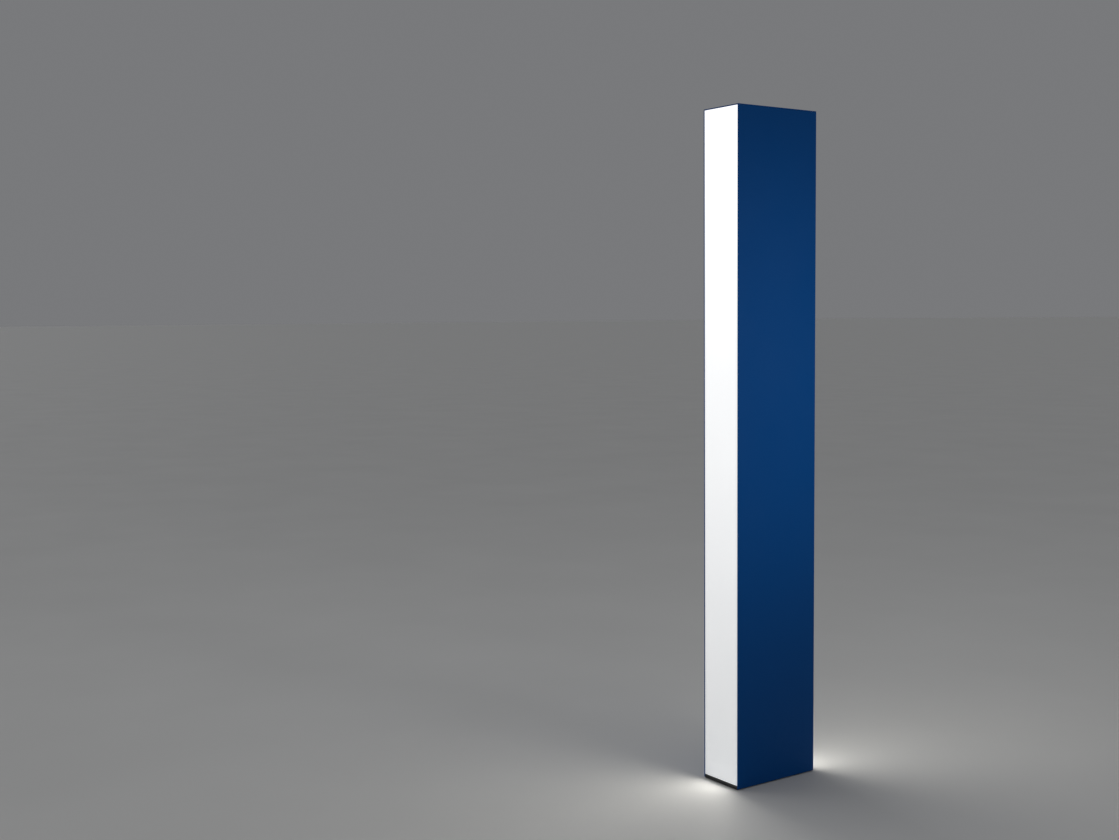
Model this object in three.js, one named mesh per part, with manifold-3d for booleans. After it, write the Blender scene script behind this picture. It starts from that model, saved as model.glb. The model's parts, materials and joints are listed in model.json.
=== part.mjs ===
// Free-standing LED light column with two lit faces.
//
// A slim rectangular tower stands on a black steel base plate. Its two narrow faces, front (-Y) and
// rear (+Y), are opal covers lit from behind by LED boards on white trays. Its two wide faces are
// blue powder-coated sheets. The left sheet (-X) has a flush service door low down, which opens on the
// mains wiring, the LED drivers and the cable entry.
//
// Units are millimetres. +Z is up, +X is the plain right face and the origin is the middle of the
// footprint on the floor. Front and rear light engines are one design, turned half a turn about Z.

import * as THREE from "three";
import { mergeVertices } from "three/addons/utils/BufferGeometryUtils.js";
import Module from "manifold-3d";

// ---------------------------------------------------------------- driving dimensions

const WIDTH = 150; // X, across a lit face
const DEPTH = 310; // Y, across a blue face
const HEIGHT = 2000; // Z, floor to the top of the cap
const SHEET = 3; // side panels, door and cap
const THIN_SHEET = 2; // brackets and frames
const GAP = 0.3; // clearance between pieces that touch
const SLIDING_GAP = 0.5; // clearance on each side of a piece that slides

// Base
const PAD_HEIGHT = 2;
const BASE_THICKNESS = 10;
const BASE_BOTTOM = PAD_HEIGHT;
const BASE_TOP = BASE_BOTTOM + BASE_THICKNESS;
const PANEL_BOTTOM = 3;
const FOOT = { x: 48, y: 116, padRadius: 14, studRadius: 5, studTop: 34, chamfer: 1 };
const ANCHOR = { x: 44, y: 72, radius: 7 };
const CABLE_OPENING_RADIUS = 32;

// Frame, all measured from the column's axis
const INNER_WALL = WIDTH / 2 - SHEET; // inner face of each side panel
const BAY_HALF = 102; // half the depth of the bay between the two trays
const POST = {
  inner: 58,
  outer: INNER_WALL - SLIDING_GAP,
  depth: 24,
  wall: 2,
  bottom: BASE_TOP + GAP,
  top: 1985,
};
const FIN = { inner: 66, outer: 68.2, reach: 18 }; // the post's fin that backs the cover's leg
const BRACE_LEVELS = [700, 1140, 1580];
const BRACE_OPENING = { x: 30, y: 44, corner: 12 };
const BRACE_LIP = 14;
const TOP_FRAME_OPENING = { x: 34, y: 80, corner: 12 };

// Light engine
const COVER = { wall: 3, leg: 2.5, legDepth: 28, bottom: BASE_TOP + 1, top: HEIGHT - SHEET - SLIDING_GAP };
const TRAY = { sheet: 1.5, back: 2, half: 56.5, flare: 64.5, knee: 21, front: 149, bottom: 16, top: 1981 };
const BOARD = { count: 4, width: 90, length: 480, thickness: 1.6, pitch: 490, first: 20 };
const LED = { rows: 12, columns: 2, columnPitch: 45, size: 5, height: 1.4 };
const LEAD_HOLE = { z: 505, radius: 5 };
const GROMMET = { bore: 2.6, lip: 2, lipRadius: 7, tail: 1.2 };

// Service door and its opening
const DOOR_OPENING = { half: 88, bottom: 150, top: 650, corner: 10 };
const DOOR_GAP = 2.5;
const DOOR_LIP = 12; // how far the stop frame shows inside the opening
const HINGE = { x: -68, setback: 14, pinRadius: 2.5, headRadius: 3.6, lugReach: 10, lugHalf: 8 };
const LOCK = { setback: 23.5, levels: [300, 500], radius: 9, nutRadius: 12, camLength: 30, camHalf: 6 };

// Bay equipment
const MOUNT_PLATE = { x: 61.5, half: 95, bottom: 112, top: 690, corner: 6 };
const RAIL = { z: 200, height: 35, depth: 7.5, sheet: 1, half: 88 };
const DRIVER = { y: 42, bottom: 290, length: 200, width: 64, depth: 36, grooves: 5, grooveDepth: 1.6 };
const DRIVER_TAB = { reach: 12, thickness: 3, inset: 8 };
const GLAND = { level: 88, bore: 6.5, threadRadius: 12, threadRise: 12, hexRadius: 16.5, hexHeight: 9 };
const DOME = { height: 30, shoulder: 24 }; // the gland's dome nut, measured down from its seat
const GLAND_BRIDGE = { half: 44, foot: 16, halfWidth: 22 };

const CURVE_STEPS = 24; // facets round a small turned piece
const DRIVER_X = MOUNT_PLATE.x - GAP - DRIVER.depth / 2;

// ---------------------------------------------------------------- materials

const paint = (color, roughness, metalness) =>
  new THREE.MeshStandardMaterial({ color, roughness, metalness });

const BLUE_COAT = paint(0x0f4f9c, 0.42, 0.1);
const BLACK_STEEL = paint(0x101114, 0.55, 0.3);
const ALUMINIUM = paint(0xb9bcc0, 0.38, 0.9);
const ZINC = paint(0x9a9da0, 0.4, 0.9);
const WHITE_COAT = paint(0xf4f4f2, 0.5, 0);
const OPAL = new THREE.MeshStandardMaterial({
  color: 0xf6f6f4,
  roughness: 0.35,
  emissive: 0xffffff,
  emissiveIntensity: 0.8,
});
const BOARD_WHITE = paint(0xe9ebe6, 0.45, 0);
const GREY_PLASTIC = paint(0x8c9092, 0.5, 0);
const PALE_PLASTIC = paint(0xdcdedd, 0.45, 0);
const BLACK_PLASTIC = paint(0x17181a, 0.5, 0);
const RUBBER = paint(0x1c1c1d, 0.85, 0);

// ---------------------------------------------------------------- solids and booleans

const wasm = await Module();
wasm.setup();

function solidOf(geometry) {
  const bare = geometry.index ? geometry.toNonIndexed() : geometry.clone();
  bare.deleteAttribute("normal");
  bare.deleteAttribute("uv");
  const merged = mergeVertices(bare, 1e-4);
  return new wasm.Manifold(
    new wasm.Mesh({
      numProp: 3,
      vertProperties: merged.attributes.position.array,
      triVerts: new Uint32Array(merged.index.array),
    }),
  );
}

function geometryOf(solid) {
  const mesh = solid.getMesh();
  return new THREE.BufferGeometry()
    .setAttribute("position", new THREE.BufferAttribute(mesh.vertProperties, 3))
    .setIndex(new THREE.BufferAttribute(mesh.triVerts, 1));
}

const cut = (body, ...tools) =>
  geometryOf(tools.reduce((left, tool) => left.subtract(solidOf(tool)), solidOf(body)));

const join = (body, ...others) =>
  geometryOf(others.reduce((whole, other) => whole.add(solidOf(other)), solidOf(body)));

// ---------------------------------------------------------------- shapes

const points = (...pairs) => pairs.map(([x, y]) => new THREE.Vector2(x, y));

const polygon = (...pairs) => new THREE.Shape(points(...pairs));

// Box between two opposite corners.
function block([x0, y0, z0], [x1, y1, z1]) {
  return new THREE.BoxGeometry(x1 - x0, y1 - y0, z1 - z0).translate(
    (x0 + x1) / 2,
    (y0 + y1) / 2,
    (z0 + z1) / 2,
  );
}

// Rectangle with rounded corners, as a Shape or as a hole.
function roundedRectangle(u0, v0, u1, v1, radius, Kind = THREE.Shape) {
  const quarter = Math.PI / 2;
  const outline = new Kind();
  outline.moveTo(u0 + radius, v0);
  outline.absarc(u1 - radius, v0 + radius, radius, -quarter, 0);
  outline.absarc(u1 - radius, v1 - radius, radius, 0, quarter);
  outline.absarc(u0 + radius, v1 - radius, radius, quarter, 2 * quarter);
  outline.absarc(u0 + radius, v0 + radius, radius, 2 * quarter, 3 * quarter);
  return outline;
}

function circle(u, v, radius) {
  const outline = new THREE.Path();
  outline.absarc(u, v, radius, 0, 2 * Math.PI);
  return outline;
}

const extrude = (shape, depth, curveSegments = 6) =>
  new THREE.ExtrudeGeometry(shape, { depth, bevelEnabled: false, curveSegments });

// A plan-view (x, y) section raised from z0 to z1.
const rise = (shape, z0, z1, segments) => extrude(shape, z1 - z0, segments).translate(0, 0, z0);

// A (y, z) section carried from x0 to x1.
function acrossX(shape, x0, x1, segments) {
  const turn = new THREE.Matrix4().makeBasis(
    new THREE.Vector3(0, 1, 0),
    new THREE.Vector3(0, 0, 1),
    new THREE.Vector3(1, 0, 0),
  );
  return extrude(shape, x1 - x0, segments).applyMatrix4(turn).translate(x0, 0, 0);
}

// An (x, z) section carried from y0 to y1.
function acrossY(shape, y0, y1, segments) {
  const turn = new THREE.Matrix4().makeBasis(
    new THREE.Vector3(1, 0, 0),
    new THREE.Vector3(0, 0, 1),
    new THREE.Vector3(0, -1, 0),
  );
  return extrude(shape, y1 - y0, segments).applyMatrix4(turn).translate(0, y1, 0);
}

// A turned piece on the Z axis, from (radius, height) pairs that rise from the axis back to the axis.
const turned = (pairs, segments = CURVE_STEPS) =>
  new THREE.LatheGeometry(points(...pairs), segments).rotateX(Math.PI / 2);

const rod = (radius, z0, z1, segments = CURVE_STEPS) =>
  turned([[0, z0], [radius, z0], [radius, z1], [0, z1]], segments);

// A round rod along X.
const rodAlongX = (radius, x0, x1, segments = CURVE_STEPS) =>
  rod(radius, x0, x1, segments).rotateY(Math.PI / 2);

const hexagon = (radius, z0, z1) => rod(radius, z0, z1, 6);

// A wire of the given radius along a smooth curve through the given points.
function wire(route, radius, steps = 28, sides = 8) {
  const section = new THREE.Shape();
  for (let i = 0; i < sides; i += 1) {
    const angle = (2 * Math.PI * i) / sides;
    const [u, v] = [radius * Math.cos(angle), radius * Math.sin(angle)];
    if (i === 0) section.moveTo(u, v);
    else section.lineTo(u, v);
  }
  const extrudePath = new THREE.CatmullRomCurve3(route.map((p) => new THREE.Vector3(...p)));
  return new THREE.ExtrudeGeometry(section, { steps, extrudePath, bevelEnabled: false });
}

// ---------------------------------------------------------------- the assembly

const column = new THREE.Group();

function place(parent, name, geometry, material, position = [0, 0, 0]) {
  const mesh = new THREE.Mesh(geometry, material);
  mesh.name = name;
  mesh.position.set(...position);
  parent.add(mesh);
  return mesh;
}

const CORNERS = [
  { name: "front_right", sx: 1, sy: -1 },
  { name: "front_left", sx: -1, sy: -1 },
  { name: "rear_right", sx: 1, sy: 1 },
  { name: "rear_left", sx: -1, sy: 1 },
];

// ---- base: plate, levelling feet

function basePlate() {
  const halfX = INNER_WALL - SLIDING_GAP;
  const outline = roundedRectangle(-halfX, -DEPTH / 2, halfX, DEPTH / 2, 1);
  outline.holes.push(circle(0, 0, CABLE_OPENING_RADIUS));
  for (const { sx, sy } of CORNERS) {
    outline.holes.push(circle(sx * ANCHOR.x, sy * ANCHOR.y, ANCHOR.radius));
    outline.holes.push(circle(sx * FOOT.x, sy * FOOT.y, FOOT.studRadius + GAP));
  }
  return rise(outline, BASE_BOTTOM, BASE_TOP, 8);
}

// Thin pad with an adjusting stud, which is turned from above.
function levellingFoot() {
  const { padRadius, studRadius, studTop, chamfer } = FOOT;
  const padTop = PAD_HEIGHT - GAP;
  return turned([
    [0, 0],
    [padRadius - chamfer, 0],
    [padRadius, chamfer],
    [padRadius, padTop],
    [studRadius, padTop],
    [studRadius, studTop - chamfer],
    [studRadius - chamfer, studTop],
    [0, studTop],
  ]);
}

function addBase() {
  const base = new THREE.Group();
  place(base, "base_plate", basePlate(), BLACK_STEEL);
  for (const { name, sx, sy } of CORNERS)
    place(base, `levelling_foot_${name}`, levellingFoot(), ZINC, [sx * FOOT.x, sy * FOOT.y, 0]);
  column.add(base);
}

// ---- frame: corner posts, braces and top frame

// Box section with a fin on its outer side; sx and sy say which corner it stands in. The bore runs the
// opposite way round from the outline, so that the mirrored corners come out right too.
function cornerPost({ sx, sy }) {
  const at = (x, y) => [sx * x, sy * y];
  const near = BAY_HALF;
  const far = BAY_HALF + POST.depth;
  const outline = polygon(
    at(POST.inner, near),
    at(POST.outer, near),
    at(POST.outer, far),
    at(FIN.outer, far),
    at(FIN.outer, far + FIN.reach),
    at(FIN.inner, far + FIN.reach),
    at(FIN.inner, far),
    at(POST.inner, far),
  );
  const bore = new THREE.Path(
    points(
      at(POST.inner + POST.wall, near + POST.wall),
      at(POST.inner + POST.wall, far - POST.wall),
      at(POST.outer - POST.wall, far - POST.wall),
      at(POST.outer - POST.wall, near + POST.wall),
    ),
  );
  outline.holes.push(bore);
  return rise(outline, POST.bottom, POST.top);
}

// Level sheet that ties the four posts and both trays together, with an opening for cables.
function crossBrace(level) {
  const wideX = POST.outer;
  const narrowX = TRAY.half - GAP;
  const middle = BAY_HALF - GAP;
  const outline = polygon(
    [-wideX, -middle],
    [wideX, -middle],
    [wideX, middle],
    [-wideX, middle],
  );
  const { x, y, corner } = BRACE_OPENING;
  outline.holes.push(roundedRectangle(-x, -y, x, y, corner, THREE.Path));
  const lipTop = level + THIN_SHEET / 2;
  const lip = block([-narrowX, -middle, level - BRACE_LIP], [narrowX, -middle + THIN_SHEET, lipTop]);
  const rearLip = lip.clone().rotateZ(Math.PI);
  return join(rise(outline, level, level + THIN_SHEET), lip, rearLip);
}

const CAP_SCREW = { x: 44, y: 96, headRadius: 5, shankRadius: 2.5, headDepth: 2.6, length: 22 };
const HEX_SOCKET = { radius: 1.7, depth: 1.8 };

function topFrame() {
  const halfX = POST.outer;
  const halfY = BAY_HALF + POST.depth;
  const outline = polygon([-halfX, -halfY], [halfX, -halfY], [halfX, halfY], [-halfX, halfY]);
  const { x, y, corner } = TOP_FRAME_OPENING;
  outline.holes.push(roundedRectangle(-x, -y, x, y, corner, THREE.Path));
  for (const { sx, sy } of CORNERS)
    outline.holes.push(circle(sx * CAP_SCREW.x, sy * CAP_SCREW.y, CAP_SCREW.shankRadius + GAP));
  return rise(outline, POST.top + GAP, POST.top + GAP + SHEET, 4);
}

function addFrame() {
  const frame = new THREE.Group();
  for (const corner of CORNERS)
    place(frame, `corner_post_${corner.name}`, cornerPost(corner), ALUMINIUM);
  ["lower", "middle", "upper"].forEach((name, i) =>
    place(frame, `cross_brace_${name}`, crossBrace(BRACE_LEVELS[i]), ZINC),
  );
  place(frame, "top_frame", topFrame(), ZINC);
  column.add(frame);
}

// ---- skins: side panels and cap

const PANEL_TOP = HEIGHT - SHEET - GAP;
const SKIRT = { x: 65, y: 147, drop: 6, corner: 4 };

const panelOutline = () =>
  roundedRectangle(-DEPTH / 2, PANEL_BOTTOM, DEPTH / 2, PANEL_TOP, 0.6);

function leftPanel() {
  const outline = panelOutline();
  const { half, bottom, top, corner } = DOOR_OPENING;
  outline.holes.push(roundedRectangle(-half, bottom, half, top, corner, THREE.Path));
  return acrossX(outline, -WIDTH / 2, -INNER_WALL);
}

// Lid with a skirt that drops inside the covers and panels, and four countersunk holes.
function topCap() {
  const lid = rise(
    roundedRectangle(-WIDTH / 2, -DEPTH / 2, WIDTH / 2, DEPTH / 2, 1),
    HEIGHT - SHEET,
    HEIGHT,
  );
  const { x, y, drop, corner } = SKIRT;
  const skirt = roundedRectangle(-x, -y, x, y, corner);
  const [innerX, innerY] = [x - THIN_SHEET, y - THIN_SHEET];
  skirt.holes.push(
    roundedRectangle(-innerX, -innerY, innerX, innerY, corner - THIN_SHEET, THREE.Path),
  );
  const { headRadius, shankRadius, headDepth } = CAP_SCREW;
  const sinks = CORNERS.map(({ sx, sy }) =>
    turned([
      [0, HEIGHT - SHEET - 1],
      [shankRadius + GAP, HEIGHT - SHEET - 1],
      [shankRadius + GAP, HEIGHT - headDepth - GAP],
      [headRadius + GAP, HEIGHT],
      [headRadius + GAP, HEIGHT + 1],
      [0, HEIGHT + 1],
    ]).translate(sx * CAP_SCREW.x, sy * CAP_SCREW.y, 0),
  );
  const skirtTop = HEIGHT - SHEET + 0.5;
  return cut(join(lid, rise(skirt, HEIGHT - SHEET - drop, skirtTop)), ...sinks);
}

// Countersunk screw with a hexagon socket.
function capScrew() {
  const { headRadius, shankRadius, headDepth, length } = CAP_SCREW;
  const top = HEIGHT - GAP / 2;
  const body = turned([
    [0, top - length],
    [shankRadius, top - length],
    [shankRadius, top - headDepth],
    [headRadius, top],
    [0, top],
  ]);
  return cut(body, hexagon(HEX_SOCKET.radius, top - HEX_SOCKET.depth, top + 1));
}

function addSkins() {
  const skins = new THREE.Group();
  place(skins, "right_side_panel", acrossX(panelOutline(), INNER_WALL, WIDTH / 2), BLUE_COAT);
  place(skins, "left_side_panel", leftPanel(), BLUE_COAT);
  place(skins, "top_cap", topCap(), BLUE_COAT);
  for (const { name, sx, sy } of CORNERS)
    place(skins, `cap_screw_${name}`, capScrew(), ZINC, [sx * CAP_SCREW.x, sy * CAP_SCREW.y, 0]);
  column.add(skins);
}

// ---- light engine: drawn for the front, and turned round for the rear

// U-shaped opal cover: its face closes the end of the column and its legs grip the post fins.
function opalCover() {
  const out = INNER_WALL - SLIDING_GAP;
  const face = -DEPTH / 2;
  const back = face + COVER.wall;
  const legEnd = face + COVER.legDepth;
  const inner = out - COVER.leg;
  const edge = 0.8;
  const outline = polygon(
    [-out + edge, face],
    [out - edge, face],
    [out, face + edge],
    [out, legEnd],
    [inner, legEnd],
    [inner, back],
    [-inner, back],
    [-inner, legEnd],
    [-out, legEnd],
    [-out, face + edge],
  );
  return rise(outline, COVER.bottom, COVER.top);
}

// White trough that carries the boards; its side walls flare out to the edges of the cover.
function lightTray() {
  const { sheet, back, half, flare, knee, front, bottom, top } = TRAY;
  const kneeY = -(BAY_HALF + knee);
  const outline = polygon(
    [-half, -BAY_HALF],
    [-half, kneeY],
    [-flare, -front],
    [-flare + sheet, -front],
    [-half + sheet, kneeY],
    [-half + sheet, -BAY_HALF - back],
    [half - sheet, -BAY_HALF - back],
    [half - sheet, kneeY],
    [flare - sheet, -front],
    [flare, -front],
    [half, kneeY],
    [half, -BAY_HALF],
  );
  const leadHole = rod(LEAD_HOLE.radius, -5, 5)
    .rotateX(Math.PI / 2)
    .translate(0, -BAY_HALF - back / 2, LEAD_HOLE.z);
  return cut(rise(outline, bottom, top), leadHole);
}

function ledBoard() {
  const { width, length, thickness } = BOARD;
  const back = -(BAY_HALF + TRAY.back + GAP);
  const face = back - thickness;
  const board = block([-width / 2, face, 0], [width / 2, back, length]);
  const rowPitch = length / LED.rows;
  const leds = [];
  for (let row = 0; row < LED.rows; row += 1)
    for (let col = 0; col < LED.columns; col += 1) {
      const x = (col - (LED.columns - 1) / 2) * LED.columnPitch;
      const z = (row + 0.5) * rowPitch;
      const half = LED.size / 2;
      leds.push(block([x - half, face - LED.height, z - half], [x + half, face + 0.2, z + half]));
    }
  return join(board, ...leds);
}

// Rubber ring in the tray's back where the lead comes through.
function leadGrommet() {
  const { radius } = LEAD_HOLE;
  const { bore, lip, lipRadius, tail } = GROMMET;
  const halfWall = TRAY.back / 2;
  const seat = -halfWall - GAP;
  return turned([
    [bore, seat - lip],
    [lipRadius, seat - lip],
    [lipRadius, seat],
    [radius - GAP, seat],
    [radius - GAP, halfWall + tail],
    [bore, halfWall + tail],
    [bore, seat - lip],
  ])
    .rotateX(Math.PI / 2)
    .translate(0, -BAY_HALF - halfWall, LEAD_HOLE.z);
}

function addLightEngine(side, turn) {
  const engine = new THREE.Group();
  engine.rotation.z = turn;
  place(engine, `${side}_opal_cover`, opalCover(), OPAL);
  place(engine, `${side}_light_tray`, lightTray(), WHITE_COAT);
  for (let i = 0; i < BOARD.count; i += 1) {
    const level = BOARD.first + i * BOARD.pitch;
    place(engine, `${side}_led_board_${i + 1}`, ledBoard(), BOARD_WHITE, [0, 0, level]);
  }
  place(engine, `${side}_lead_grommet`, leadGrommet(), RUBBER);
  column.add(engine);
}

// ---- service door: leaf, stop frame, gasket, pivots and quarter-turn locks

const DOOR = {
  half: DOOR_OPENING.half - DOOR_GAP,
  bottom: DOOR_OPENING.bottom + DOOR_GAP,
  top: DOOR_OPENING.top - DOOR_GAP,
};
const HINGE_Y = DOOR.half - HINGE.setback;
const LOCK_Y = -DOOR.half + LOCK.setback;
const STIFFENER = { half: 6, depth: 8, inset: 26, y: [-36, 34] };
const DOOR_LUG = { thickness: 3, inset: 8 };

// Sheet with two stiffeners and, near its rear edge, a drilled pivot lug at each end.
function doorLeaf() {
  const { half, bottom, top } = DOOR;
  const outline = roundedRectangle(-half, bottom, half, top, DOOR_OPENING.corner - 1);
  for (const level of LOCK.levels) outline.holes.push(circle(LOCK_Y, level, LOCK.radius + GAP));
  const inside = -INNER_WALL;
  const root = inside - 0.5;
  const extras = STIFFENER.y.map((y) =>
    block(
      [root, y - STIFFENER.half, bottom + STIFFENER.inset],
      [inside + STIFFENER.depth, y + STIFFENER.half, top - STIFFENER.inset],
    ),
  );
  const lugLevels = [bottom + DOOR_LUG.inset, top - DOOR_LUG.inset - DOOR_LUG.thickness];
  for (const z of lugLevels)
    extras.push(
      block(
        [root, HINGE_Y - HINGE.lugHalf, z],
        [inside + HINGE.lugReach, HINGE_Y + HINGE.lugHalf, z + DOOR_LUG.thickness],
      ),
    );
  const pinHole = rod(HINGE.pinRadius + GAP, bottom, top).translate(HINGE.x, HINGE_Y, 0);
  return cut(join(acrossX(outline, -WIDTH / 2, inside, 12), ...extras), pinHole);
}

// Three-sided strip behind the edges of the opening. Its hinge side is left open for the door's swing.
function threeSided(outer, inner, openY) {
  return polygon(
    [openY, DOOR_OPENING.bottom - outer],
    [openY, DOOR_OPENING.bottom + inner],
    [-DOOR_OPENING.half + inner, DOOR_OPENING.bottom + inner],
    [-DOOR_OPENING.half + inner, DOOR_OPENING.top - inner],
    [openY, DOOR_OPENING.top - inner],
    [openY, DOOR_OPENING.top + outer],
    [-DOOR_OPENING.half - outer, DOOR_OPENING.top + outer],
    [-DOOR_OPENING.half - outer, DOOR_OPENING.bottom - outer],
  );
}

// Both strips lie flat behind the panel and overlap it all round the opening.
const GASKET = { front: -INNER_WALL + GAP, thickness: 1.7, overlap: 12 };
const STOP = { front: GASKET.front + GASKET.thickness + GAP, overlap: 13 };
const STOP_OPEN_Y = HINGE_Y - 14; // where they end, clear of the pivot brackets

const PIVOT = { offset: 2, leaf: 3, rise: 34, half: 10, depth: 13, pinHead: 2.2, pinReach: 18 };

// Angle piece behind the panel: its shelf holds a pivot pin and its upright is notched round the pin's
// head. Drawn for the top of the door, with the pivot on the Z axis and the opening's edge at z = 0.
function pivotBracket() {
  const front = -INNER_WALL + GAP - HINGE.x;
  const { offset, leaf, rise: height, half, depth, pinHead } = PIVOT;
  const shelf = block([front, -half, offset], [front + depth, half, offset + leaf]);
  const upright = block([front, -half, offset], [front + leaf, half, offset + height]);
  const hole = rod(HINGE.pinRadius + GAP, 0, offset + leaf + 1);
  const notch = rod(HINGE.headRadius + 2 * GAP, offset + leaf, offset + leaf + pinHead + 2);
  return cut(join(upright, shelf), hole, notch);
}

// Headed pin that drops through the bracket's shelf and the door's lug.
function pivotPin() {
  const { offset, leaf, pinHead, pinReach } = PIVOT;
  const seat = offset + leaf + GAP;
  return turned([
    [0, seat - pinReach],
    [HINGE.pinRadius, seat - pinReach],
    [HINGE.pinRadius, seat],
    [HINGE.headRadius, seat],
    [HINGE.headRadius, seat + pinHead],
    [0, seat + pinHead],
  ]);
}

const LOCK_NUT = { front: -INNER_WALL + GAP, thickness: 3.6 };
const KEY_WELL = { radius: 6.2, depth: 5 };
const KEY_POST = { radius: 4.6, setback: 1.2 };
const CAM = { front: STOP.front + THIN_SHEET + 0.5, thickness: 3 };

function lockNut(level) {
  const { front, thickness } = LOCK_NUT;
  const ring = hexagon(LOCK.nutRadius, front, front + thickness).rotateY(Math.PI / 2);
  const bore = rodAlongX(LOCK.radius + GAP, front - 1, front + thickness + 1);
  return cut(ring, bore).translate(0, LOCK_Y, level);
}

// Barrel with a three-cornered key recess outside and a cam inside that points up when unlocked.
function lockBarrel(level) {
  const end = CAM.front + CAM.thickness;
  const barrel = rodAlongX(LOCK.radius, -WIDTH / 2, end);
  const cam = block(
    [CAM.front, -LOCK.camHalf, -LOCK.camHalf],
    [end, LOCK.camHalf, LOCK.camLength],
  );
  const outside = -WIDTH / 2;
  const wellEnd = outside + KEY_WELL.depth;
  const well = rodAlongX(KEY_WELL.radius, outside - 1, wellEnd);
  const key = rodAlongX(KEY_POST.radius, outside + KEY_POST.setback, wellEnd + 1, 3);
  return join(cut(join(barrel, cam), well), key).translate(0, LOCK_Y, level);
}

function addServiceDoor() {
  const door = new THREE.Group();
  place(door, "service_door", doorLeaf(), BLUE_COAT);
  const gasket = threeSided(GASKET.overlap, DOOR_LIP, STOP_OPEN_Y);
  const { front, thickness } = GASKET;
  place(door, "door_gasket", acrossX(gasket, front, front + thickness), RUBBER);
  const stop = threeSided(STOP.overlap, DOOR_LIP, STOP_OPEN_Y);
  place(door, "door_stop_frame", acrossX(stop, STOP.front, STOP.front + THIN_SHEET), ZINC);
  const ends = [
    { name: "upper", turn: 0, edge: DOOR_OPENING.top, level: LOCK.levels[1] },
    { name: "lower", turn: Math.PI, edge: DOOR_OPENING.bottom, level: LOCK.levels[0] },
  ];
  for (const { name, turn, edge, level } of ends) {
    const at = [HINGE.x, HINGE_Y, edge];
    place(door, `door_pivot_bracket_${name}`, pivotBracket(), ZINC, at).rotation.x = turn;
    place(door, `door_pivot_pin_${name}`, pivotPin(), ZINC, at).rotation.x = turn;
    place(door, `lock_nut_${name}`, lockNut(level), ZINC);
    place(door, `lock_cam_${name}`, lockBarrel(level), ZINC);
  }
  column.add(door);
}

// ---- service bay: mounting plate, rail, breaker, surge arrester, terminals, drivers and leads

// Sheet held off the right panel by four welded studs.
function mountingPlate() {
  const { x, half, bottom, top, corner } = MOUNT_PLATE;
  const plate = acrossX(roundedRectangle(-half, bottom, half, top, corner), x, x + THIN_SHEET);
  const [studRadius, inset] = [4, 14];
  const studs = [];
  for (const y of [-half + inset, half - inset])
    for (const z of [bottom + inset, top - inset])
      studs.push(rodAlongX(studRadius, x + 1, INNER_WALL - GAP, 12).translate(0, y, z));
  return join(plate, ...studs);
}

// 35 mm top-hat rail.
function dinRail() {
  const { z, height, depth, sheet, half } = RAIL;
  const back = MOUNT_PLATE.x - GAP;
  const front = back - depth;
  const crown = 12.5; // half the width of the raised middle
  const outline = polygon(
    [front, z - height / 2],
    [front + sheet, z - height / 2],
    [front + sheet, z - crown - sheet],
    [back, z - crown - sheet],
    [back, z + crown + sheet],
    [front + sheet, z + crown + sheet],
    [front + sheet, z + height / 2],
    [front, z + height / 2],
    [front, z + crown],
    [back - sheet, z + crown],
    [back - sheet, z - crown],
    [front, z - crown],
  );
  return acrossY(outline, -half, half);
}

const MODULE = {
  back: MOUNT_PLATE.x - GAP - RAIL.depth - GAP,
  base: 44,
  nose: 66,
  half: 45,
  noseHalf: 22.5,
};

// Stepped side view of a rail-mounted device.
function moduleBody(y0, y1) {
  const { back, base, nose, half, noseHalf } = MODULE;
  const z = RAIL.z;
  const outline = polygon(
    [back, z - half],
    [back, z + half],
    [back - base, z + half],
    [back - base, z + noseHalf],
    [back - nose, z + noseHalf],
    [back - nose, z - noseHalf],
    [back - base, z - noseHalf],
    [back - base, z - half],
  );
  return acrossY(outline, y0, y1);
}

const BREAKER = { y0: -24, y1: 12 };
const ARRESTER = { y0: 22, y1: 40 };
const TOGGLE = { x: MODULE.back - MODULE.nose + 6, hub: 5, reach: 15, half: 10, tilt: Math.PI / 5 };
const TOGGLE_SLOT = { height: 26, clearance: 1 };

function circuitBreaker() {
  const { height, clearance } = TOGGLE_SLOT;
  const middle = (BREAKER.y0 + BREAKER.y1) / 2;
  const halfWidth = TOGGLE.half + clearance;
  const slot = block(
    [MODULE.back - MODULE.nose - 1, middle - halfWidth, RAIL.z - height / 2],
    [TOGGLE.x + TOGGLE.hub + clearance, middle + halfWidth, RAIL.z + height / 2],
  );
  return cut(moduleBody(BREAKER.y0, BREAKER.y1), slot);
}

// Toggle bar on a hub; it stands tilted up when the circuit is on.
function breakerToggle() {
  const hub = rod(TOGGLE.hub, -TOGGLE.half, TOGGLE.half).rotateX(Math.PI / 2);
  const bar = block([-TOGGLE.reach, -TOGGLE.half, -2], [0, TOGGLE.half, 2]).rotateY(TOGGLE.tilt);
  return join(hub, bar);
}

const TERMINALS = {
  y0: -84,
  pitch: 7,
  count: 7,
  depth: 40,
  half: 24,
  crest: 8,
  shoulder: 10,
  split: 0.6,
};

// Row of feed-through terminals clipped side by side.
function terminalStrip() {
  const { y0, pitch, count, depth, half, crest, shoulder, split } = TERMINALS;
  const { back } = MODULE;
  const [low, high] = [RAIL.z - half, RAIL.z + half];
  const body = block([back - depth + crest, y0, low], [back, y0 + pitch * count, high]);
  const crests = [];
  for (let i = 0; i < count; i += 1) {
    const y = y0 + i * pitch;
    const from = [back - depth, y + split, low + shoulder];
    crests.push(block(from, [back - 2, y + pitch - split, high - shoulder]));
  }
  return join(body, ...crests);
}

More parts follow.
